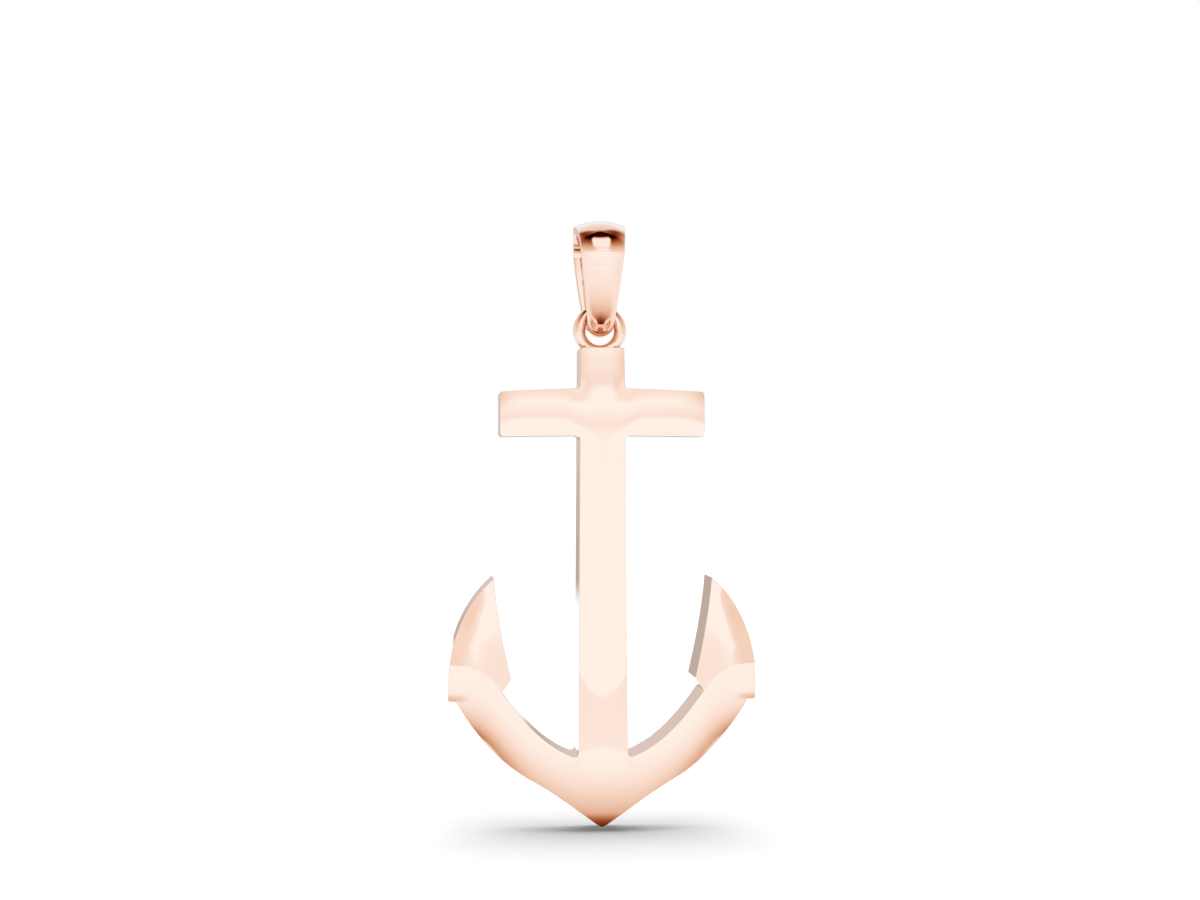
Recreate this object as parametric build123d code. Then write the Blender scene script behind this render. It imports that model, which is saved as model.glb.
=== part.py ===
from build123d import *
from math import sqrt
import os

os.makedirs("parts", exist_ok=True)

# An anchor pendant in polished rose gold, in two pieces that interlock: a cast anchor with a round
# ring soldered into the head of its shank, and a bail, a tapered strip bent into a closed loop that
# hooks through the ring. Lengths are in millimetres. X runs across the anchor, its front faces -Y
# and Z is up. The origin is inside the top of the bail, where the chain bears.

# Bail: inside of the loop, then the strip's width, edge thickness and crown at its top and bottom
loop_height = 5.89
loop_depth = 3.90
strip_top_width = 3.44
strip_bottom_width = 1.60
strip_top_edge = 0.55
strip_bottom_edge = 0.40
strip_top_crown = 0.40
strip_bottom_crown = 0.48
strip_sections = 15

# Ring
ring_wire = 0.82
ring_outer_diameter = 3.50
ring_running_gap = 0.04
ring_sunk_in_shank = 0.57

# Anchor, seen from the front
anchor_height = 31.40
arm_span = 20.06
shank_top_width = 2.90
shank_bottom_width = 3.20
shank_corner_radius = 0.22
stock_length = 13.36
stock_drop = 2.61
stock_root_height = 3.16
stock_end_height = 2.96
stock_end_droop = 0.18
stock_corner_radius = 0.24
stock_root_radius = 0.18
crotch_radius = 0.34
point_radius = 0.20

# Anchor, front to back: the back is flat, and each front is a shallow dome
back_behind_ring = 0.75
shank_edge_thickness = 3.15
shank_crown = 0.10
stock_edge_thickness = 3.10
stock_crown = 0.20
foot_ramp_length = 3.50
foot_ramp_rise = 0.27
crown_dome_radius = 10.00
arm_crest_thickness = 3.42
arm_crown_radius = 5.20
fluke_crest_thickness = 3.80
fluke_dome_radius = 9.50

# Half of the loop inside the bail, as shares of half loop_depth and of loop_height: its top, its
# widest point and its bottom, each pair joined by a curve with two handles
LOOP_TOP = (0.000, 0.000)
LOOP_TOP_B = (0.540, 0.000)
LOOP_TOP_C = (1.020, 0.093)
LOOP_WIDEST = (1.000, 0.221)
LOOP_WIDEST_B = (0.872, 0.509)
LOOP_WIDEST_C = (0.615, 1.000)
LOOP_BOTTOM = (0.000, 1.000)

# Points of the right arm and fluke: shares of half arm_span and of anchor_height below the shank's
# top. The letters b and c are the two handles of the curve that starts at the point before them.
CROTCH = (0.1296, 0.8529)
CROTCH_B = (0.3564, 0.8348)
CROTCH_C = (0.5210, 0.7732)
NOOK = (0.6538, 0.7121)
INNER_BARB = (0.5975, 0.6846)
INNER_BARB_B = (0.6467, 0.6189)
INNER_BARB_C = (0.6921, 0.5444)
FLUKE_TIP = (0.7076, 0.4774)
FLUKE_TIP_B = (0.9364, 0.5403)
FLUKE_TIP_C = (1.0174, 0.6334)
OUTER_BARB = (1.0000, 0.7315)
HEEL = (0.9500, 0.7320)
HEEL_B = (0.8301, 0.7982)
HEEL_C = (0.6998, 0.8533)
ARM_TURN = (0.4860, 0.8922)
ARM_TURN_B = (0.2916, 0.9263)
ARM_TURN_C = (0.1555, 0.9615)

# Centres of the domes, as shares of anchor_height and of half arm_span: the crown's, where the
# shank's foot has risen to it, the arms' with its crest, and the fluke's as a point like those above
CROWN_CENTRE = 0.860
ARM_CENTRE = 0.6272
ARM_CREST = 0.757
FLUKE_CENTRE = (0.7780, 0.6272)
LEDGE = 0.660

ring_wire_radius = ring_wire / 2
ring_radius = ring_outer_diameter / 2 - ring_wire_radius
ring_hole_radius = ring_radius - ring_wire_radius
half_strip = strip_bottom_width / 2
ring_centre_z = -loop_height - sqrt((ring_hole_radius - ring_running_gap) ** 2 - half_strip**2)
shank_top_z = ring_centre_z - ring_outer_diameter / 2 + ring_sunk_in_shank


def between(start, end, share):
    return start + (end - start) * share


def strip_section(plane, share):
    """Cross-section of the bail's strip: flat inside, square edges and a crowned outside."""
    half = between(strip_top_width, strip_bottom_width, share) / 2
    edge = between(strip_top_edge, strip_bottom_edge, share)
    crest = edge + between(strip_top_crown, strip_bottom_crown, share)
    sides = Polyline((-half, edge), (-half, 0), (half, 0), (half, edge))
    crown = ThreePointArc((half, edge), (0, crest), (-half, edge))
    return plane * make_face([sides, crown])


def in_loop(shares):
    """A point on the inside of the bail's loop, in front of the middle."""
    return (0, -shares[0] * loop_depth / 2, -shares[1] * loop_height)


def strip_plane(path, share):
    """The plane across the strip at a share of the path's length, with its Y axis outwards."""
    along = share * path.length
    place = path.position_at(along, position_mode=PositionMode.LENGTH)
    forward = path.tangent_at(along, position_mode=PositionMode.LENGTH)
    return Plane(origin=place, x_dir=(1, 0, 0), z_dir=forward)


def mirrored_to_back(plane):
    """The same section on the back of the loop, for a path that runs on in one direction."""
    place, forward = plane.origin, plane.z_dir
    return Plane(
        origin=(0, -place.Y, place.Z), x_dir=(1, 0, 0), z_dir=(0, forward.Y, -forward.Z)
    )


def make_bail():
    """The strip, lofted down the front of the loop and mirrored to the back."""
    arch = Bezier(*[in_loop(p) for p in (LOOP_TOP, LOOP_TOP_B, LOOP_TOP_C, LOOP_WIDEST)])
    wall = Bezier(*[in_loop(p) for p in (LOOP_WIDEST, LOOP_WIDEST_B, LOOP_WIDEST_C, LOOP_BOTTOM)])
    path = Wire([arch, wall])
    shares = [i / (strip_sections - 1) for i in range(strip_sections)]
    sections = [strip_section(strip_plane(path, share), share) for share in shares]
    # Two sections past each end, so that the two halves meet without a crease
    for step in (1, 2):
        before, after = shares[step], shares[-1 - step]
        sections.insert(0, strip_section(mirrored_to_back(strip_plane(path, before)), before))
        sections.append(strip_section(mirrored_to_back(strip_plane(path, after)), after))
    reach = 4 * (loop_height + loop_depth + strip_top_width)
    front_half = loft(sections) & Pos(0, -reach / 2, 0) * Box(reach, reach, reach)
    return front_half + mirror(front_half, about=Plane.XZ)


def at(shares):
    """A point of the arm or fluke, right of the middle and below the shank's top."""
    return (shares[0] * arm_span / 2, -shares[1] * anchor_height)


def arms_outline():
    """Both arms with their flukes, as a flat face."""
    centre_bottom = (0, -anchor_height)
    centre_top = (0, at(CROTCH)[1])
    edges = [
        Line(centre_top, at(CROTCH)),
        Bezier(at(CROTCH), at(CROTCH_B), at(CROTCH_C), at(NOOK)),
        Line(at(NOOK), at(INNER_BARB)),
        Bezier(at(INNER_BARB), at(INNER_BARB_B), at(INNER_BARB_C), at(FLUKE_TIP)),
        Bezier(at(FLUKE_TIP), at(FLUKE_TIP_B), at(FLUKE_TIP_C), at(OUTER_BARB)),
        Line(at(OUTER_BARB), at(HEEL)),
        Bezier(at(HEEL), at(HEEL_B), at(HEEL_C), at(ARM_TURN)),
        Bezier(at(ARM_TURN), at(ARM_TURN_B), at(ARM_TURN_C), centre_bottom),
        Line(centre_bottom, centre_top),
    ]
    right = make_face(edges)
    return right + mirror(right, about=Plane.YZ)


def shank_outline():
    """The shank, from its rounded head to inside the crown of the arms."""
    top = shank_top_width / 2
    foot_y = at(CROTCH)[1] - crotch_radius
    foot = shank_bottom_width / 2
    shank = make_face(Polyline((-top, 0), (top, 0), (foot, foot_y), (-foot, foot_y), close=True))
    head = [v for v in shank.vertices() if abs(v.Y) < shank_corner_radius / 2]
    return fillet(head, shank_corner_radius)


def stock_outline():
    """The crossbar, whose ends droop a little and are lower than its middle."""
    half = stock_length / 2
    root_top = -stock_drop
    end_top = root_top - stock_end_droop - (stock_root_height - stock_end_height) / 2
    ends = ((half, end_top), (half, end_top - stock_end_height))
    middle = ((0, root_top), (0, root_top - stock_root_height))
    corners = [middle[0], ends[0], ends[1], middle[1]]
    corners += [(-ends[1][0], ends[1][1]), (-ends[0][0], ends[0][1])]
    stock = make_face(Polyline(*corners, close=True))
    tips = [v for v in stock.vertices() if abs(v.X) > half / 2]
    return fillet(tips, stock_corner_radius)


def anchor_outline():
    """The whole anchor from the front, with its inside corners rounded."""
    outline = shank_outline() + stock_outline() + arms_outline()
    roots = [v for v in outline.vertices() if is_stock_root(v)]
    outline = fillet(roots, stock_root_radius)
    crotches = [v for v in outline.vertices() if is_crotch(v)]
    outline = fillet(crotches, crotch_radius)
    points = [v for v in outline.vertices() if abs(v.Y + anchor_height) < point_radius / 2]
    return fillet(points, point_radius)


def is_stock_root(vertex):
    """Where the shank's side crosses the crossbar's edge."""
    low = -stock_drop - stock_root_height - stock_end_droop
    high = -stock_drop + stock_root_radius
    return low <= vertex.Y <= high and abs(vertex.X) < shank_bottom_width / 2 + stock_root_radius


def is_crotch(vertex):
    """Where the shank's side crosses the inner edge of an arm."""
    near = abs(vertex.Y - at(CROTCH)[1]) < shank_bottom_width / 2
    return near and 0 < abs(vertex.X) < shank_bottom_width / 2 + crotch_radius


def domed_bar(half_width, edge, crown):
    """Section of a bar with a flat back and a crowned front, as wide as the bar."""
    sides = Polyline((-half_width, edge), (-half_width, 0), (half_width, 0), (half_width, edge))
    top = ThreePointArc((half_width, edge), (0, edge + crown), (-half_width, edge))
    return make_face([sides, top])


def foot_ramp(half_width):
    """The foot of the shank, which thickens evenly until it runs into the crown's dome."""
    low = shank_edge_thickness + shank_crown
    end = -CROWN_CENTRE * anchor_height + crown_dome_radius * foot_ramp_rise / foot_ramp_length
    start = end + foot_ramp_length
    sides = Polyline(
        (start, 0), (start, low), (end, low + foot_ramp_rise), (end, 0), close=True
    )
    return extrude(Plane.YZ * make_face(sides), half_width, both=True)


def crown_dome():
    """A ball under the crown, which the foot ramp meets without a crease."""
    slope = foot_ramp_rise / foot_ramp_length
    crest = shank_edge_thickness + shank_crown + foot_ramp_rise + crown_dome_radius * slope**2 / 2
    ball = Pos(0, -CROWN_CENTRE * anchor_height, crest - crown_dome_radius)
    ball = ball * Sphere(crown_dome_radius)
    return ball & Pos(0, -anchor_height, crest / 2) * Box(arm_span, anchor_height / 2, crest)


def anchor_relief():
    """Blocks whose tops are the domed fronts of the shank, crossbar, arms and flukes."""
    shank_half = shank_bottom_width / 2 + crotch_radius
    shank_foot = at(CROTCH)[1] - crotch_radius
    shank = extrude(
        Plane.XZ * domed_bar(shank_half, shank_edge_thickness, shank_crown), -shank_foot
    )
    stock_half = stock_root_height / 2 + stock_end_droop + stock_root_radius
    stock_middle = -stock_drop - (stock_root_height + stock_end_droop) / 2
    stock_section = Plane.YZ * domed_bar(stock_half, stock_edge_thickness, stock_crown)
    stock = Pos(0, stock_middle, 0) * extrude(stock_section, stock_length / 2, both=True)
    crest = ARM_CREST * arm_span / 2
    centre_y = -ARM_CENTRE * anchor_height
    tube = Pos(0, centre_y, arm_crest_thickness - arm_crown_radius) * Torus(crest, arm_crown_radius)
    ledge_y = -LEDGE * anchor_height
    arm_block = Pos(0, ledge_y - anchor_height / 2, arm_crest_thickness / 2) * Box(
        2 * arm_span, anchor_height, arm_crest_thickness
    )
    relief = shank + stock + foot_ramp(shank_half) + (arm_block & tube) + crown_dome()
    fluke_x, fluke_y = at(FLUKE_CENTRE)
    for side in (-1, 1):
        ball = Pos(side * fluke_x, fluke_y, fluke_crest_thickness - fluke_dome_radius)
        ball = ball * Sphere(fluke_dome_radius)
        cell = Pos(side * arm_span / 2, fluke_y, fluke_crest_thickness / 2)
        cell = cell * Box(arm_span / 2, 2 * (fluke_y + anchor_height), fluke_crest_thickness)
        relief += cell & ball
    return relief


def make_anchor():
    """The casting, cut to its outline and its domes, with the ring soldered into its head."""
    tallest = fluke_crest_thickness + stock_crown
    casting = extrude(anchor_outline(), 2 * tallest) & anchor_relief()
    stand = Plane(origin=(0, back_behind_ring, shank_top_z), x_dir=(1, 0, 0), z_dir=(0, -1, 0))
    ring = Pos(0, 0, ring_centre_z) * Rot(90, 0, 0) * Torus(ring_radius, ring_wire_radius)
    return stand.location * casting + ring


bail = make_bail()
anchor = make_anchor()
export_step(bail, "parts/bail.step")
export_step(anchor, "parts/anchor.step")
for name, piece in (("bail", bail), ("anchor", anchor)):
    box = piece.bounding_box()
    print(name, "volume", round(piece.volume, 2), "size", box.size, "low", box.min, "high", box.max)
print("ring centre z", round(ring_centre_z, 3), "shank top z", round(shank_top_z, 3))
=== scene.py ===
from math import pi, radians

import bmesh
import bpy
import numpy as np
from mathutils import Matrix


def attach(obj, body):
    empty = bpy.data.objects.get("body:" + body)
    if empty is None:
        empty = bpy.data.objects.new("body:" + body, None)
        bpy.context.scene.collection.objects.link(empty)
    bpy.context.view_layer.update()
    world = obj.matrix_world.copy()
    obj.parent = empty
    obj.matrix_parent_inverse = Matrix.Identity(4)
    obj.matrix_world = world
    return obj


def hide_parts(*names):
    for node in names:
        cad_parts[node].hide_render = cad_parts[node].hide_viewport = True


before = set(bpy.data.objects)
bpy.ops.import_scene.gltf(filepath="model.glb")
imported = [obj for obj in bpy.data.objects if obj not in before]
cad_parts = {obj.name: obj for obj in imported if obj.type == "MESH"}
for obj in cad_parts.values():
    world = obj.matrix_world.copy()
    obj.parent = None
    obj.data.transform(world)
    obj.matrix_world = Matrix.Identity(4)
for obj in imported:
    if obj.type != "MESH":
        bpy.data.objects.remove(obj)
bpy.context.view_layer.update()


# Camera: level, a little below the crossbar, 139 mm in front of the pendant and turned 5 degrees to
# its right, which is the angle that the photograph was taken from.
view_turn, view_lens, view_sensor = 5.18, 63.3, 36
view_place = (-0.01257, -0.13898, -0.014155)

eye = bpy.data.objects.new("eye", bpy.data.cameras.new("eye"))
eye.data.sensor_width = view_sensor
eye.data.lens = view_lens
eye.data.clip_start = 0.002
eye.location = view_place
eye.rotation_euler = (pi / 2, 0, -radians(view_turn))
bpy.context.collection.objects.link(eye)
bpy.context.scene.camera = eye
bpy.context.scene.view_settings.view_transform = "Standard"


# Bail: a tapered strip of rose gold, crowned outside and flat inside, bent into a pear-shaped loop
# and closed at the bottom behind the ring. It is buffed to a mirror, with its long edges broken.
class Feed:
    """What a shader node gives out. Arithmetic on it adds Math nodes, and add any other node."""

    def __init__(self, tree, socket=None):
        self.tree, self.socket = tree, socket

    def add(self, kind, settings={}, sockets={}, gives=0):
        """Adds a node of a type: its settings first, then the values or links of its sockets."""
        node = self.tree.nodes.new(kind)
        for name, setting in settings.items():
            if name == "stops":
                while len(node.color_ramp.elements) < len(setting):
                    node.color_ramp.elements.new(0.5)
                for stop, (place, colour) in zip(node.color_ramp.elements, setting):
                    stop.position, stop.color = place, (*colour, 1)
            else:
                setattr(node, name, setting)
        for name, value in sockets.items():
            if isinstance(value, Feed):
                self.tree.links.new(value.socket, node.inputs[name])
            else:
                node.inputs[name].default_value = value
        return Feed(self.tree, node.outputs[gives] if node.outputs else None)

    def math(self, operation, *values):
        return self.add("ShaderNodeMath", {"operation": operation}, dict(enumerate(values)))

    def __add__(self, other):
        return self.math("ADD", self, other)

    def __sub__(self, other):
        return self.math("SUBTRACT", self, other)

    def __rsub__(self, other):
        return self.math("SUBTRACT", other, self)

    def __mul__(self, other):
        return self.math("MULTIPLY", self, other)

    def __truediv__(self, other):
        return self.math("DIVIDE", self, other)

    def __rtruediv__(self, other):
        return self.math("DIVIDE", other, self)

    __radd__, __rmul__ = __add__, __mul__

    def ramp(self, start, end):
        """Rises smoothly from 0 where the value is at start to 1 where it is at end."""
        ends = {"Value": self, "From Min": start, "From Max": end}
        return self.add("ShaderNodeMapRange", {"interpolation_type": "SMOOTHSTEP"}, ends)

    def mix(self, low, high):
        """The colour low where the value is 0 and high where it is 1."""
        ends = {"Factor": self, 6: low, 7: high}
        return self.add("ShaderNodeMix", {"data_type": "RGBA"}, ends, gives=2)


gold_colours = (0.950, 0.735, 0.622, 1), (0.955, 0.747, 0.638, 1)
gold_gloss, gold_haze = 0.045, 0.03


def rose_gold(name):
    """Mirror-polished rose gold. Its tint and gloss drift a little, as buffing leaves them."""
    material = bpy.data.materials.new(name)
    material.use_nodes = True
    material.node_tree.nodes.clear()
    shader = Feed(material.node_tree)
    place = shader.add("ShaderNodeTexCoord", gives="Object")
    drift = shader.add(
        "ShaderNodeTexNoise", sockets={"Vector": place, "Scale": 260.0, "Detail": 2.0}
    )
    haze = shader.add(
        "ShaderNodeTexNoise", sockets={"Vector": place, "Scale": 1900.0, "Detail": 3.0}
    )
    buffed = shader.add(
        "ShaderNodeBump",
        sockets={"Strength": 0.05, "Distance": 0.000002, "Height": drift + haze * 0.2},
    )
    gold = shader.add(
        "ShaderNodeBsdfPrincipled",
        sockets={
            "Base Color": drift.mix(*gold_colours),
            "Metallic": 1.0,
            "Roughness": gold_gloss + haze * gold_haze,
            "Normal": buffed,
        },
    )
    shader.add("ShaderNodeOutputMaterial", sockets={"Surface": gold})
    return material


# Points nearer than seam_gap metres are one. Faces that meet at more than sharp_angle stay sharp.
seam_gap, sharp_angle = 2e-7, radians(32)


def metal_piece(name, sheets, material):
    """A piece from grids of points in millimetres, its seams merged and its faces turned out."""
    points, faces, count = [], [], 0
    for sheet in sheets:
        rows, columns = sheet.shape[:2]
        first = count + np.arange(rows - 1)[:, None] * columns + np.arange(columns - 1)
        quads = np.stack((first, first + 1, first + columns + 1, first + columns), axis=-1)
        points.append(sheet.reshape(-1, 3))
        faces.append(quads.reshape(-1, 4))
        count += rows * columns
    mesh = bpy.data.meshes.new(name)
    mesh.from_pydata(np.concatenate(points) / 1000, [], np.concatenate(faces))
    shape = bmesh.new()
    shape.from_mesh(mesh)
    bmesh.ops.remove_doubles(shape, verts=shape.verts, dist=seam_gap)
    bmesh.ops.recalc_face_normals(shape, faces=shape.faces)
    shape.to_mesh(mesh)
    shape.free()
    mesh.shade_smooth()
    mesh.set_sharp_from_angle(angle=sharp_angle)
    mesh.materials.append(material)
    piece = bpy.data.objects.new(name, mesh)
    bpy.context.collection.objects.link(piece)
    return piece


def bezier(start, start_handle, end_handle, end, steps):
    """Cubic curve: its four points weighted by (1-t)^3, 3(1-t)^2 t, 3(1-t)t^2 and t^3."""
    t = np.linspace(0, 1, steps + 1)[:, None]
    near = (1 - t) ** 3 * np.array(start) + 3 * (1 - t) ** 2 * t * np.array(start_handle)
    return near + 3 * (1 - t) * t**2 * np.array(end_handle) + t**3 * np.array(end)


def along(path, shares):
    """Points at shares of a path's length, found on the straight pieces between its points."""
    steps = np.linalg.norm(np.diff(path, axis=0), axis=1)
    reached = np.append(0, np.cumsum(steps)) / steps.sum()
    return np.stack([np.interp(shares, reached, path[:, k]) for k in (0, 1)], axis=1)


def turned(start, corner, end, steps):
    """Rounds a corner: start, corner and end weighted by (1-t)^2, 2(1-t)t and t^2."""
    t = np.linspace(0, 1, steps + 1)[:, None]
    start, corner, end = [points[..., None, :] for points in (start, corner, end)]
    return (1 - t) ** 2 * start + 2 * (1 - t) * t * corner + t**2 * end


# Millimetres. The strip's width, edge and crown are given at the loop's top and at its foot.
loop_half_depth, loop_height = 1.925, 5.89
strip_width, strip_edge, strip_crown = (3.44, 1.60), (0.55, 0.40), (0.40, 0.48)
strip_broken_edge, strip_hollow = 0.05, 0.10
crease_drop, crease_rise, crease_half_width = 2.12, 0.45, 1.35
crease_width, crease_depth = 0.09, 0.009
rear_leg_wider = 0.14
round_steps = 4

# The loop from the side, as shares of its half depth and its height: the arch, then the wall
loop_arch = bezier((0, 0), (0.540, 0), (1.020, 0.093), (1.000, 0.221), 400)
loop_wall = bezier((1.000, 0.221), (0.872, 0.509), (0.615, 1.000), (0, 1.000), 600)
loop_shares = np.linspace(0, 1, 181)
loop = np.concatenate((loop_arch, loop_wall[1:])) * (-loop_half_depth, -loop_height)
loop = along(loop, loop_shares)


def strip_section(share, wider):
    """Half of the strip's section, at shares of a leg's length: flat inside, square edge, arc.

    The arc's radius is (half width squared + crown squared) / twice the crown. The inside is
    hollow by a hair, which it lifts towards its edges by the fourth power of the way to them.
    Each side gets 4 s (1 - s) times wider more, s being the share.
    """
    half, edge, crown = [a + (b - a) * share for a, b in (strip_width, strip_edge, strip_crown)]
    half = half / 2 + wider * share * (1 - share) * 4
    radius = (half**2 + crown**2) / (2 * crown)
    lean = np.arcsin(half / radius) - strip_broken_edge / radius
    hollow = strip_hollow * (1 - share) ** 0.5

    def at(across, off):
        return np.stack((across + 0 * share, off + 0 * share), axis=-1)

    flat_half = half - strip_broken_edge
    inside = [at(flat_half * t, hollow * t**4) for t in np.linspace(0, 1, 25)]
    low = turned(inside[-1], at(half, hollow), at(half, hollow + strip_broken_edge), round_steps)
    low_end, high_start = low[:, -1], at(half, edge - strip_broken_edge)
    side = [low_end + (high_start - low_end) * t for t in (0.02, 0.25, 0.5, 0.75, 0.98, 1)]
    base = edge + crown - radius
    leans = [lean * t for t in np.linspace(1, 0, 33)]
    arc = [at(radius * np.sin(angle), base + radius * np.cos(angle)) for angle in leans]
    high = turned(side[-1], at(half, edge), arc[0], round_steps)
    inside, side, arc = [np.stack(points, axis=1) for points in (inside, side, arc[1:])]
    return np.concatenate((inside, low[:, 1:], side, high[:, 1:], arc), axis=1)


def bent_strip(front, wider):
    """One leg of the loop, right half: path + across along X + off along the path's normal.

    A faint U-shaped crease is pressed into the outside, by off^2 times exp(-c^2), c being the
    height above the U in crease widths. The U rises by the square of the way to the strip's edges.
    """
    run = np.gradient(loop, axis=0)
    run[0], run[-1] = (-1, 0), (1, 0)
    run /= np.linalg.norm(run, axis=1, keepdims=True)
    normal = np.stack((run[:, 1], -run[:, 0]), axis=1)
    section = strip_section(loop_shares, wider)
    across, off = section[..., 0], section[..., 1]
    above_crease = loop[:, None, 1] + crease_drop - crease_rise * (across / crease_half_width) ** 2
    off = off - crease_depth * off**2 * np.exp(-((above_crease / crease_width) ** 2))
    depth = loop[:, None, 0] + off * normal[:, None, 0]
    height = loop[:, None, 1] + off * normal[:, None, 1]
    return np.stack((across, front * depth, height), axis=-1)


front_leg, rear_leg = bent_strip(1, 0), bent_strip(-1, rear_leg_wider)
legs = [leg * (side, 1, 1) for leg in (front_leg, rear_leg) for side in (1, -1)]
bail = metal_piece("bail_strip", legs, rose_gold("bail rose gold"))
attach(bail, "bail")
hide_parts("bail")


# Ring: one turn of round rose-gold wire, closed, and soldered upright into the head of the shank.
# It hangs on the bottom of the bail and swings there.
ring_radius, wire_radius = 1.34, 0.41
ring_centre_z = -6.28

# A torus: (ring radius + wire radius * cos b) outwards at angle a, and wire radius * sin b along Y
round_ring = np.linspace(0, 2 * pi, 145)[:, None]
round_wire = np.linspace(0, 2 * pi, 41)
outwards = ring_radius + wire_radius * np.cos(round_wire)
ring_sheet = np.stack(
    (
        outwards * np.cos(round_ring),
        0 * round_ring + wire_radius * np.sin(round_wire),
        ring_centre_z + outwards * np.sin(round_ring),
    ),
    axis=-1,
)
ring = metal_piece("anchor_ring", [ring_sheet], rose_gold("ring rose gold"))
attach(ring, "anchor")


# Anchor: one casting in rose gold, with a shank, a crossbar, two curved arms that meet in a pointed
# crown, and an arrow-shaped fluke at the end of each arm. The back is flat, and the fronts are low
# domes. The ring is soldered into its head.
shank_top_z, back_y = -7.46, 0.75
anchor_height, half_span = 31.40, 10.03
shank_half_top, shank_half_foot, shank_foot = 1.45, 1.60, 27.12
shank_corner, crotch_reach, point_reach = 0.22, 0.43, 0.17
bar_half_length, bar_drop, bar_height, bar_end_height, bar_droop = 6.68, 2.61, 3.16, 2.96, 0.18
bar_corner, bar_root = 0.24, 0.18
shoulder_drop, crown_share = 20.58, 0.68
edge_break, edge_hold = 0.03, 0.015
quarter_handle, quarter_half_steps = 0.5523, 32


def spot(across, down):
    """A point of the right half: its shares of the half span and of the height below the head."""
    return np.array((across * half_span, down * anchor_height))


def line(start, end, steps=100):
    """Even steps on a straight line."""
    return np.linspace(start, end, steps + 1)


def even(steps):
    """Even shares from 0 to 1."""
    return np.linspace(0, 1, steps + 1)


def mirrored(place):
    """Points of the right half, on the left."""
    return place * (-1, 1)


def joined(*paths):
    """Paths that follow one another, as one."""
    return np.concatenate([paths[0]] + [path[1:] for path in paths[1:]])


def cut(path, start, end):
    """The part of a path between two shares of its length."""
    return along(path, np.linspace(start, end, 301))


def rounded(before, after, reach):
    """Two paths with a quarter-round between them, which begins at reach from their corner."""
    lengths = [np.linalg.norm(np.diff(path, axis=0), axis=1).sum() for path in (before, after)]
    before = cut(before, 0, 1 - reach / lengths[0])
    after = cut(after, reach / lengths[1], 1)
    run = before[-1] - before[-2]
    corner = before[-1] + run * reach / np.linalg.norm(run)
    handles = [end + quarter_handle * (corner - end) for end in (before[-1], after[0])]
    bend = bezier(before[-1], *handles, after[0], 2 * quarter_half_steps)
    return joined(before, bend[: quarter_half_steps + 1]), joined(bend[quarter_half_steps:], after)


def half_shank(down):
    """Half the shank's width, which grows evenly from the head to the crotches."""
    return shank_half_top + (shank_half_foot - shank_half_top) * down / shank_foot


def right_outline():
    """The outline's right half, from the middle of the head to the point, in named stretches."""
    end_top = bar_drop + bar_droop + (bar_height - bar_end_height) / 2
    slope_top = (end_top - bar_drop) / bar_half_length
    slope_low = (end_top + bar_end_height - bar_drop - bar_height) / bar_half_length
    half_top, half_low = half_shank(bar_drop), half_shank(bar_drop + bar_height)
    root_top = np.array((half_top, bar_drop + slope_top * half_top))
    root_low = np.array((half_low, bar_drop + bar_height + slope_low * half_low))
    head_corner = (shank_half_top, 0)
    bar_end = [(bar_half_length, end_top), (bar_half_length, end_top + bar_end_height)]
    nook, outer_barb = spot(0.6538, 0.7121), spot(1.0, 0.7315)
    arm_inner = bezier(spot(0.1296, 0.8529), spot(0.3564, 0.8348), spot(0.5210, 0.7732), nook, 800)
    arm_inner = arm_inner[arm_inner[:, 0] >= half_shank(arm_inner[:, 1])]
    top, head = rounded(line((0, 0), head_corner), line(head_corner, root_top), shank_corner)
    head, bar_top = rounded(head, line(root_top, bar_end[0]), bar_root)
    bar_top, bar_side = rounded(bar_top, line(*bar_end), bar_corner)
    bar_side, bar_low = rounded(bar_side, line(bar_end[1], root_low), bar_corner)
    bar_low, shank = rounded(bar_low, line(root_low, arm_inner[0]), bar_root)
    shank, arm_inner = rounded(shank, arm_inner, crotch_reach)
    inner_barb, tip = spot(0.5975, 0.6846), spot(0.7076, 0.4774)
    fluke_outer = bezier(tip, spot(0.9364, 0.5403), spot(1.0174, 0.6334), outer_barb, 400)
    shoulder = int(np.argmin(np.abs(fluke_outer[:, 1] - shoulder_drop)))
    heel, bow = spot(0.9500, 0.7320), spot(0.4860, 0.8922)
    lower = joined(
        bezier(heel, spot(0.8301, 0.7982), spot(0.6998, 0.8533), bow, 200),
        bezier(bow, spot(0.2916, 0.9263), spot(0.1555, 0.9615), spot(0, 1), 200),
    )
    lower, _ = rounded(lower, mirrored(lower[::-1]), point_reach)
    return {
        "top": top,
        "head": head,
        "bar_top": bar_top,
        "bar_side": bar_side,
        "bar_low": bar_low,
        "shank": shank,
        "arm_inner": arm_inner,
        "barb": line(nook, inner_barb),
        "fluke_inner": bezier(inner_barb, spot(0.6467, 0.6189), spot(0.6921, 0.5444), tip, 300),
        "fluke_outer": fluke_outer[: shoulder + 1],
        "arm_head": fluke_outer[shoulder:],
        "heel": line(outer_barb, heel),
        "arm_outer": cut(lower, 0, crown_share),
        "crown": cut(lower, crown_share, 1),
    }


def coons(low, high, left, right):
    """Fills four edges: both pairs blended straight across, less the blend of the four corners."""
    u = np.linspace(0, 1, len(low))[None, :, None]
    v = np.linspace(0, 1, len(left))[:, None, None]
    across = (1 - u) * left[:, None] + u * right[:, None]
    down = (1 - v) * low[None] + v * high[None]
    corners = (1 - v) * ((1 - u) * low[0] + u * low[-1]) + v * ((1 - u) * high[0] + u * high[-1])
    return across + down - corners


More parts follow.
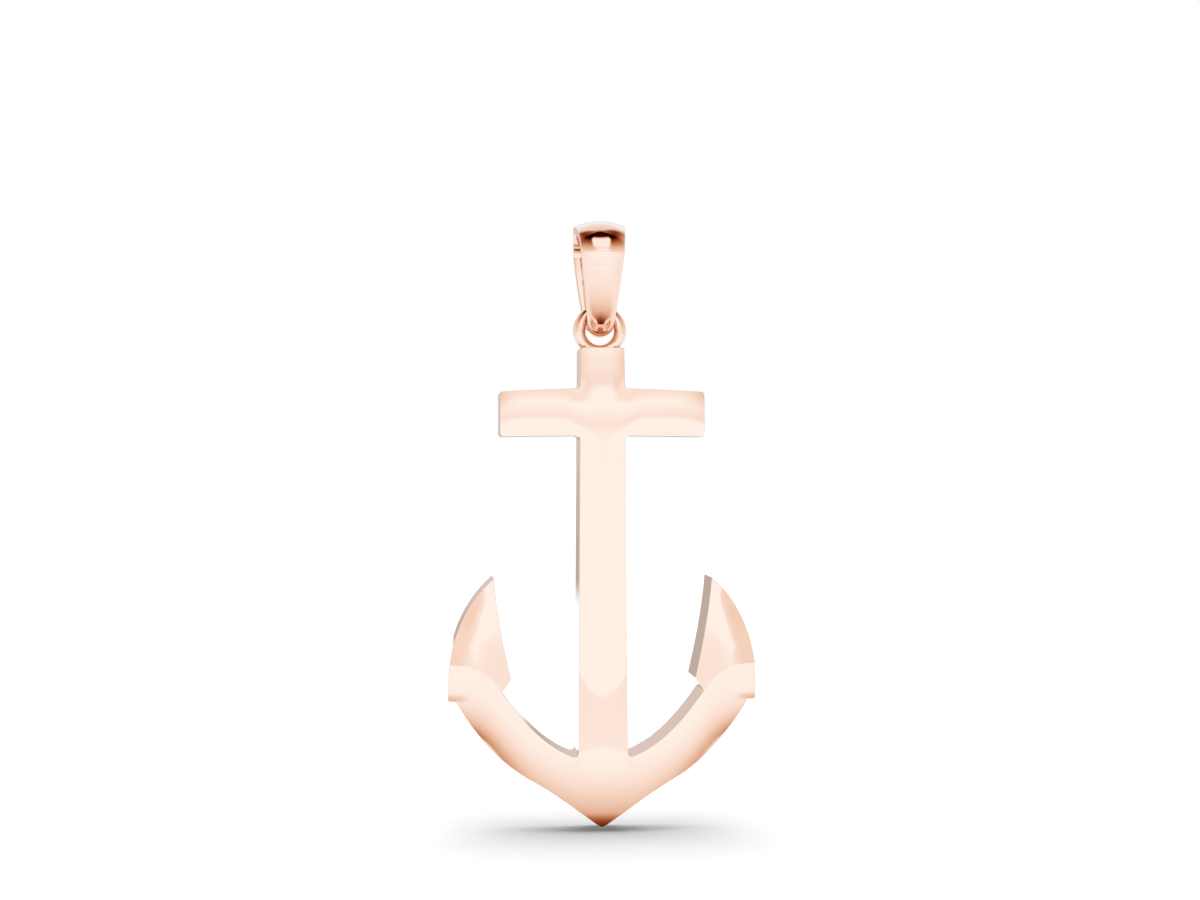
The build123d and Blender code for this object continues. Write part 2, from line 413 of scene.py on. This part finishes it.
def inwards(outline, reach):
    """A closed outline moved in by reach: corners move along (n1 + n2) / (1 + n1.n2)."""
    steps = np.roll(outline, -1, axis=0) - outline
    normals = np.stack((-steps[:, 1], steps[:, 0]), axis=1)
    normals /= np.linalg.norm(normals, axis=1, keepdims=True)
    before = np.roll(normals, 1, axis=0)
    mitre = (normals + before) / (1 + np.sum(normals * before, axis=1, keepdims=True))
    return outline + np.reshape(reach, (-1, 1)) * mitre


def smooth(low, high, value):
    """0 up to low, 1 from high, and 3t^2 - 2t^3 between."""
    t = np.clip((value - low) / (high - low), 0, 1)
    return t * t * (3 - 2 * t)


def over(first, second, blend):
    """The higher of two surfaces, their meeting rounded: half of a + b + root((a-b)^2 + k^2)."""
    return (first + second + np.sqrt((first - second) ** 2 + blend**2)) / 2


# The body's front, in millimetres. Names that end in _drop are distances below the head.
front_height, shank_fall = 3.25, 0.11
head_slope, head_swell, head_swell_drop, head_swell_width = 0.52, 0.024, 2.5, 0.6
bar_crest_drop, bar_crest_lift, bar_crest_sag = 5.35, 0.77, 0.13
bar_fall, bar_end_fall = 0.04, 0.0016
ramp_slope, ramp_level_drop, ramp_blend = 0.0771, 22.38, 0.03
ramp_end_drop, ramp_end_sag = 26.1, 0.16
arm_centre_drop, arm_radius, arm_crest, arm_crest_fall = 19.69, 7.20, 3.555, 0.135
crown_bend, arm_bend_less, arm_head_share = 12, 7.9, 0.46
point_fall, point_fall_drop = 0.07, 30.3
barb_bevel, barb_bevel_drop, barb_bevel_run = 0.055, 22.58, 0.37


def body_height(place):
    """Front of the shank, crossbar, arms and crown above the flat back, in millimetres.

    The head slopes back to the ring, and swells a little at the crossbar. The shank falls by the
    square of the way to its sides, but is level in the crossing. The bar falls by the square of
    the distance from its crest, which rises and then sags outwards, and by the cube along its
    ends. The shank's foot is a flat ramp. Arms and crown are a round about a circle: root(bend^2 -
    away^2), away being the distance from the circle. The bend is tighter in the arms, and their
    heads stay thick out to the outer barbs, with a small bevel under each barb. The ranges of
    smooth are millimetres across or below the head.
    """
    across, down = np.abs(place[..., 0]), place[..., 1]
    beside = across / half_shank(down)
    above_bar_foot = smooth(7.2, 5.6, down)
    crossing = smooth(1.4, 2.8, down) * above_bar_foot
    level = smooth(2.2, 3.6, down) * above_bar_foot
    slope = head_slope * (1 - smooth(-1.6, 5.3, down))
    swell = head_swell * np.exp(-(((down - head_swell_drop) / head_swell_width) ** 2))
    shank = front_height - shank_fall * beside**2 * (1 - level) - slope + swell

    crest = bar_crest_drop - bar_crest_lift * smooth(0, 3.0, across)
    crest = crest + bar_crest_sag * np.maximum(across - 4.9, 0) ** 2
    bar = front_height - bar_fall * (down - crest) ** 2
    bar = bar - bar_end_fall * np.maximum(across - 2.5, 0) ** 3
    upper = shank + (bar - shank) * smooth(0.55, 2.3, across) * crossing
    ramp = front_height + ramp_slope * (down - ramp_level_drop)
    upper = over(upper, ramp, ramp_blend * smooth(19, 22, down) + 1e-6)

    away = np.hypot(across, down - arm_centre_drop) - arm_radius
    away = away * (1 - arm_head_share * smooth(6.2, 9.7, across) * smooth(27.8, 22.2, down))
    bend = crown_bend - arm_bend_less * smooth(1.0, 8.0, across)
    arms = arm_crest - arm_crest_fall * smooth(1.0, 5.0, across) - bend
    arms = arms + np.sqrt(np.maximum(bend**2 - away**2, 1))
    arms = arms - point_fall * np.maximum(down - point_fall_drop, 0) ** 2
    below_barb = np.clip((down - barb_bevel_drop) / barb_bevel_run, 0, 1)
    arms = arms - barb_bevel * (below_barb * smooth(8.5, 9.3, across))

    ramp_end = ramp_end_drop + ramp_end_sag * np.minimum(across, 2) ** 2
    past_ramp = smooth(ramp_end - 0.1, ramp_end + 0.5, down)
    past_side = smooth(1.0, 1.25, beside) * smooth(14, 15, down)
    return upper + (arms - upper) * np.maximum(past_ramp, past_side)


# A fluke's front, in millimetres, with its heights given where it is fluke_drop below the head
fluke_drop, fluke_front, fluke_slope, fluke_bow = 20, 3.62, 0.062, 0.00185
barb_rise, outer_foot_rise = 0.0042, 0.012
ridge_across, ridge_lean, ridge_round = 7.50, 0.80, 0.5
outer_fall, outer_fall_growth, inner_fall = 0.25, 0.018, 0.05
ridge_lift, ridge_lift_width = 0.018, 0.6


def fluke_height(place):
    """Front of a fluke, in millimetres: a soft ridge with a broad bevel outside it.

    The front rises to the barbs, more and more steeply. It falls off beside the ridge by a share
    of root(off^2 + r^2) - r, off being the distance from the ridge, and outside the ridge that
    share grows downwards. The ridge stands out more towards the tip, and the foot of the outer
    bevel turns up.
    """
    across, down = np.abs(place[..., 0]), place[..., 1] - fluke_drop
    off = across - ridge_across - ridge_lean * smooth(-4.4, -0.6, down)
    share = np.where(off > 0, outer_fall + outer_fall_growth * down, inner_fall)
    fall = share * (np.sqrt(off**2 + ridge_round**2) - ridge_round)
    ridge = -ridge_lift * down * np.exp(-((off / ridge_lift_width) ** 2))
    height = fluke_front + fluke_slope * down + fluke_bow * down**2
    height = height + barb_rise * np.maximum(down + 0.6, 0) ** 2
    height = height + outer_foot_rise * np.maximum(down + 1.4, 0) ** 2 * smooth(0, 0.8, off)
    return height - fall + ridge


def flat_back(place):
    """The flat back, at no height."""
    return 0 * place[..., 0]


def standing(place, height):
    """Points of the front view, at a height above the back, in the pendant's frame."""
    height = height + 0 * place[..., 0]
    return np.stack((place[..., 0], back_y - height, shank_top_z - place[..., 1]), axis=-1)


def wall(outline, height, edge_reach, back_lift):
    """The wall round a closed outline, with its front and back edges rounded by short curves."""
    front = [inwards(outline, reach) for reach in (edge_reach + edge_hold, edge_reach, 0)]
    front = [standing(place, height(place)) for place in front]
    below = front[2].copy()
    below[:, 1] += edge_reach
    low = standing(outline, back_lift + edge_reach)
    foot = standing(outline, back_lift)
    back = [standing(inwards(outline, edge_reach + hold), back_lift) for hold in (0, edge_hold)]
    top = turned(front[1], front[2], below, round_steps)
    bottom = turned(low, foot, back[0], round_steps)
    shares = np.array((0, 0.012, 0.25, 0.5, 0.75, 0.988, 1))[:, None]
    side = below[:, None] + (low - below)[:, None] * shares
    rows = (front[0][:, None], top, side[:, 1:], bottom[:, 1:], back[1][:, None])
    sheet = np.concatenate(rows, axis=1)
    return np.concatenate((sheet, sheet[:1]))


# How many steps each stretch of the outline has. Stretches that face each other have as many.
steps_of = {
    "top": 24,
    "head": 28,
    "bar_top": 56,
    "bar_side": 32,
    "bar_low": 56,
    "shank": 190,
    "arm_inner": 110,
    "tongue": 40,
    "arm_head": 20,
    "heel": 5,
    "arm_outer": 85,
    "crown": 24,
    "barb": 10,
    "fluke_inner": 70,
    "fluke_outer": 70,
}
edge = {name: along(path, even(steps_of[name])) for name, path in right_outline().items()}

# The ledge is the curve where an arm's front meets its fluke, from the shoulder to the nook. The
# arm's tongue runs on into the fluke from there, narrower at its end and clear of the back.
tongue_reach, tongue_inset, tongue_lift, tongue_rows = 0.30, 0.12, 0.30, 2
shoulder, nook = edge["arm_head"][0], edge["arm_inner"][-1]
reach = shoulder - nook
ledge_handles = shoulder - reach * (0.45, 0), shoulder - reach * (0.66, 0.12)
ledge = along(bezier(shoulder, *ledge_handles, nook, 300), even(steps_of["tongue"]))
inset = np.linspace(tongue_inset, -tongue_inset, steps_of["tongue"] + 1)[:, None] * (-1, 0)
edge["tongue"] = (ledge + (0, -tongue_reach) + inset)[::-1]

# The body's outline: from the middle of the head round the right side to the point, and back
runs = (
    ("top", "head", "bar_top", "bar_side", "bar_low", "shank", "arm_inner"),
    ("tongue",),
    ("arm_head", "heel", "arm_outer", "crown"),
)
right = np.concatenate([joined(*[edge[name] for name in run]) for run in runs])
stretch, start = {}, 0
for run in runs:
    for name in run:
        stretch[name] = slice(start, start + steps_of[name] + 1)
        start += steps_of[name]
    start += 1
body_loop = np.concatenate((right, mirrored(right)[-2:0:-1]))
back_lift = np.zeros(len(right))
back_lift[stretch["tongue"]] = tongue_lift
back_lift = np.concatenate((back_lift, back_lift[-2:0:-1]))
body = [wall(body_loop, body_height, edge_break, back_lift)]

# The body's front and back: four fields across both halves, and three on each side
rim = inwards(body_loop, edge_break + edge_hold)
part = {name: rim[span] for name, span in stretch.items()}
left = {name: mirrored(place) for name, place in part.items()}
root_top, root_low = part["head"][-1], part["bar_low"][-1]
crotch, seam_end = part["shank"][-1], part["crown"][0]
row_top = line(mirrored(root_top), root_top, 2 * steps_of["top"])
row_low = line(mirrored(root_low), root_low, 2 * steps_of["top"])
foot = line(mirrored(crotch), crotch, 2 * steps_of["top"])
crossing = line(root_top, root_low, steps_of["bar_side"])
seam = line(crotch, seam_end, steps_of["tongue"])
head_top = joined(left["top"][::-1], part["top"])
crown = joined(left["crown"], part["crown"][::-1])
outer = joined(part["arm_outer"][::-1], part["heel"][::-1], part["arm_head"][::-1])
bed = ledge[::-1].copy()
bed[0], bed[-1] = part["arm_inner"][-1], part["arm_head"][0]
tongue = part["tongue"]
tongue_sides = line(bed[0], tongue[0], tongue_rows), line(bed[-1], tongue[-1], tongue_rows)
middle_fields = [
    (coons(head_top, row_top, left["head"], part["head"]), 0),
    (coons(row_top, row_low, mirrored(crossing), crossing), 0),
    (coons(row_low, foot, left["shank"], part["shank"]), 0),
    (coons(foot, crown, mirrored(seam), seam), 0),
]
side_fields = [
    (coons(part["bar_top"], part["bar_low"][::-1], crossing, part["bar_side"]), 0),
    (coons(part["arm_inner"], outer, seam, bed), 0),
    (coons(bed, tongue, *tongue_sides), tongue_lift * even(tongue_rows)[:, None]),
]
fields = middle_fields + side_fields + [(mirrored(field), lift) for field, lift in side_fields]
body += [standing(field, body_height(field)) for field, _ in fields]
body += [standing(field, lift) for field, lift in fields]

# The right fluke: round the barb, the inner edge, the outer edge and back along the ledge, whose
# edge is nearly sharp. Its front and back are drawn together at the tip.
ledge_break, ledge_fade = 0.002, 12
fluke_loop = joined(edge["barb"], edge["fluke_inner"], edge["fluke_outer"], ledge)[:-1]
barb_end = steps_of["barb"]
tip_at = barb_end + steps_of["fluke_inner"]
shoulder_at = tip_at + steps_of["fluke_outer"]
barb_steps = np.arange(barb_end + 1)
fade_steps = np.arange(shoulder_at - ledge_fade, shoulder_at)
keenness = np.ones(len(fluke_loop))
keenness[shoulder_at:] = 0
keenness[barb_steps] = smooth(0, barb_end, barb_steps)
keenness[fade_steps] = smooth(shoulder_at, shoulder_at - ledge_fade, fade_steps)
fluke_break = ledge_break + (edge_break - ledge_break) * keenness
right_fluke = [wall(fluke_loop, fluke_height, fluke_break, 0)]
fluke_rim = inwards(fluke_loop, fluke_break + edge_hold)
fluke_rim = np.concatenate((fluke_rim, fluke_rim[:1]))
base = joined(fluke_rim[shoulder_at:], fluke_rim[: barb_end + 1])
tip = np.repeat(fluke_rim[tip_at : tip_at + 1], len(base), axis=0)
outer_side, inner_side = fluke_rim[tip_at : shoulder_at + 1], fluke_rim[barb_end : tip_at + 1]
fluke_field = coons(base, tip, outer_side[::-1], inner_side)
right_fluke += [standing(fluke_field, height(fluke_field)) for height in (fluke_height, flat_back)]
left_fluke = [sheet * (-1, 1, 1) for sheet in right_fluke]

shells = body + right_fluke + left_fluke
anchor = metal_piece("anchor_casting", shells, rose_gold("anchor rose gold"))
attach(anchor, "anchor")
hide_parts("anchor")


# Floor: a plain white sheet just under the anchor's point. It takes only the soft shadow under the
# arms, and isn't mirrored in the metal.
floor_gap, floor_half, paper_grey = 0.20, 4000, 0.9

floor_z = shank_top_z - anchor_height - floor_gap
corners = ((-1, -1), (1, -1), (1, 1), (-1, 1))
corners = [(x * floor_half / 1000, y * floor_half / 1000, floor_z / 1000) for x, y in corners]
floor_mesh = bpy.data.meshes.new("floor")
floor_mesh.from_pydata(corners, [], [(0, 1, 2, 3)])
floor = bpy.data.objects.new("floor", floor_mesh)
bpy.context.collection.objects.link(floor)
paper = bpy.data.materials.new("white paper")
paper.use_nodes = True
paper.node_tree.nodes.clear()
paper_shader = Feed(paper.node_tree)
matt = paper_shader.add("ShaderNodeBsdfDiffuse", sockets={"Color": (*[paper_grey] * 3, 1)})
paper_shader.add("ShaderNodeOutputMaterial", sockets={"Surface": matt})
floor_mesh.materials.append(paper)
floor.visible_glossy = False


# Studio: a white room that lights the floor from above and a little from behind. In the metal it
# shows a light wall in front, a large soft lamp over that, dark warm boards above and at both
# sides, and the dim back wall.
studio = bpy.data.worlds.new("studio")
bpy.context.scene.world = studio
studio.use_nodes = True
studio.cycles.sampling_method = "NONE"
studio.node_tree.nodes.clear()
room = Feed(studio.node_tree)

# Directions: elevation in degrees above the horizon, and bearing in degrees to either side of the
# front wall's middle, which is a degree right of the front and leans further right at lamp height.
# The ranges of ramp below are degrees of one or the other.
middle_right, middle_lean = 1, 3.5
towards = room.add("ShaderNodeTexCoord", gives="Generated")
split = room.add("ShaderNodeSeparateXYZ", sockets={"Vector": towards}).socket.node.outputs
east, north, up = [Feed(room.tree, socket) for socket in split]
elevation = room.math("DEGREES", room.math("ARCSINE", up))
middle = elevation.ramp(4, 9) * (1 - elevation.ramp(16, 26)) * middle_lean + middle_right
azimuth = room.math("DEGREES", room.math("ARCTAN2", east, 0 - north))
bearing = room.math("ABSOLUTE", azimuth - middle)
height_share = elevation / 180 + 0.5


def by_height(levels):
    """What the room shows at a height: brightness of 255, by degrees above the horizon."""
    stops = [((degrees + 90) / 180, (level / 255,) * 3) for degrees, level in levels.items()]
    return room.add("ShaderNodeValToRGB", {"stops": stops}, {"Fac": height_share})


# How bright the front, the sides and the flanks are. The levels were first read from what the
# metal mirrors in the photograph, and then changed until the metal showed those tones.
front_wall = by_height({
    -90: 3, -72: 8, -66: 24, -60: 50, -54: 85, -50: 122, -45: 163, -40: 186,
    -35: 202, -30: 212, -25: 221, -20: 229, -13: 236, -6: 239, -0.2: 240, 0.8: 229,
    2.0: 225, 3.5: 225, 8: 236, 10.5: 240, 12.5: 236, 15: 227, 18: 220, 22: 226,
    28: 231, 54: 233, 60: 212, 64: 100, 67: 10, 90: 0,
})
side_wall = by_height({
    -90: 3, -72: 8, -62: 40, -54: 80, -50: 108, -45: 138, -40: 160, -35: 178,
    -30: 200, -25: 217, -20: 226, -12: 224, -5: 216, 0: 210, 5: 207, 12: 187,
    20: 170, 27: 145, 33: 122, 40: 88, 46: 66, 50: 40, 56: 10, 60: 0, 90: 0,
})
flank = by_height({
    -90: 3, -80: 150, -70: 200, -55: 213, -30: 213, -20: 224, -10: 226, 0: 214,
    12: 205, 24: 196, 33: 185, 40: 170, 48: 130, 56: 72, 62: 40, 70: 60,
    80: 100, 90: 0,
})

# The front passes into the sides from bearing near to far, and the sides into the flanks
lamp_height = elevation.ramp(31, 60)
above_floor = elevation.ramp(-1, 1.5)
near = 20 - above_floor * 16 + elevation.ramp(12, 31) * 20 + lamp_height * 11
far = 70 - above_floor * 34 - elevation.ramp(6, 19) * 4 + lamp_height * 12
level = front_wall + (side_wall - front_wall) * bearing.ramp(near, far)
flank_near = 72 - (1 - elevation.ramp(-60, -34)) * 34
flank_ends = {"Value": bearing, "From Min": flank_near, "From Max": flank_near + 10}
low_flank = room.add("ShaderNodeMapRange", sockets=flank_ends)
flank_share = low_flank + (bearing.ramp(62, 96) - low_flank) * elevation.ramp(-34, -22)
level = level + (flank - level) * flank_share

# What metal shows of metal: the lamp's height is evenly bright in the second mirroring, the rest
# is dimmer there, and all of it is dimmer in the third
lamp_again, lost_again, lost_thrice = 0.86, 0.18, 0.25
bounces = room.add("ShaderNodeLightPath", gives="Glossy Depth")
again = bounces.ramp(1.2, 1.8)
level = level + (lamp_again - level) * again * elevation.ramp(30, 60)
level = level * (1 - again * (1 - elevation.ramp(20, 50)) * lost_again)
level = level * (1 - bounces.ramp(2.2, 2.8) * lost_thrice)

# The light's colour by brightness, from the dark warm boards to the cool white of the lamp
walls = room.add(
    "ShaderNodeValToRGB",
    {
        "stops": (
            (0.000, (0.007, 0.000, 0.000)),
            (0.078, (0.064, 0.009, 0.002)),
            (0.224, (0.263, 0.055, 0.016)),
            (0.353, (0.390, 0.138, 0.061)),
            (0.522, (0.586, 0.317, 0.182)),
            (0.612, (0.721, 0.449, 0.298)),
            (0.678, (0.815, 0.564, 0.436)),
            (0.722, (0.856, 0.647, 0.543)),
            (0.769, (0.881, 0.745, 0.663)),
            (0.812, (0.941, 0.842, 0.761)),
            (0.843, (0.977, 0.917, 0.876)),
            (0.871, (1.004, 0.986, 0.990)),
            (0.894, (1.023, 1.047, 1.079)),
            (0.922, (1.041, 1.121, 1.171)),
            (0.945, (1.060, 1.187, 1.256)),
            (0.973, (1.060, 1.267, 1.383)),
        )
    },
    {"Fac": level},
)

# The back wall by height, from straight down at 0 to straight up at 1: light below, dim from just
# under the horizon, light again higher up, and dark at the top
back_wall = room.add(
    "ShaderNodeValToRGB",
    {
        "stops": (
            (0.00, (0.50, 0.40, 0.35)),
            (0.08, (0.95, 0.93, 0.93)),
            (0.40, (1.00, 1.05, 1.08)),
            (0.4785, (1.05, 1.20, 1.30)),
            (0.4805, (0.49, 0.44, 0.40)),
            (0.490, (0.53, 0.47, 0.43)),
            (0.4985, (0.61, 0.565, 0.53)),
            (0.511, (0.68, 0.63, 0.59)),
            (0.556, (0.74, 0.66, 0.65)),
            (0.61, (0.82, 0.84, 0.88)),
            (0.66, (1.02, 1.14, 1.24)),
            (0.75, (0.95, 0.98, 1.04)),
            (0.83, (0.91, 0.84, 0.84)),
            (0.90, (0.93, 0.78, 0.74)),
            (0.945, (0.86, 0.61, 0.55)),
            (0.985, (0.25, 0.09, 0.05)),
            (1.00, (0.01, 0.00, 0.00)),
        )
    },
    {"Fac": height_share},
)
all_round = bearing.ramp(118, 150).mix(walls, back_wall)

# The floor has a soft light of its own: most from overhead, some from behind and a little from
# all round. Light that reaches it by way of the metal is dim and cool, and whoever looks past the
# pendant sees plain white.
overhead, behind, all_about, floor_light = 0.84, 0.30, 0.16, 3.0
by_metal = (0.10, 0.12, 0.14, 1)
floor_bounce = room.add("ShaderNodeLightPath", gives="Diffuse Depth").ramp(0.4, 0.6)
mirrored_room = floor_bounce.mix(all_round, by_metal)
mirror = room.add("ShaderNodeBackground", sockets={"Color": mirrored_room})
soft = elevation.ramp(42, 80) * overhead + north.ramp(0.2, 0.8) * behind + all_about
soft_light = room.add("ShaderNodeBackground", sockets={"Color": soft, "Strength": floor_light})
white = room.add("ShaderNodeBackground", sockets={"Color": (1, 1, 1, 1)})
on_floor = room.add("ShaderNodeLightPath", gives="Is Diffuse Ray")
lit = room.add("ShaderNodeMixShader", sockets={0: on_floor, 1: mirror, 2: soft_light})
seen = room.add("ShaderNodeLightPath", gives="Is Camera Ray")
shown = room.add("ShaderNodeMixShader", sockets={0: seen, 1: lit, 2: white})
room.add("ShaderNodeOutputWorld", sockets={"Surface": shown})
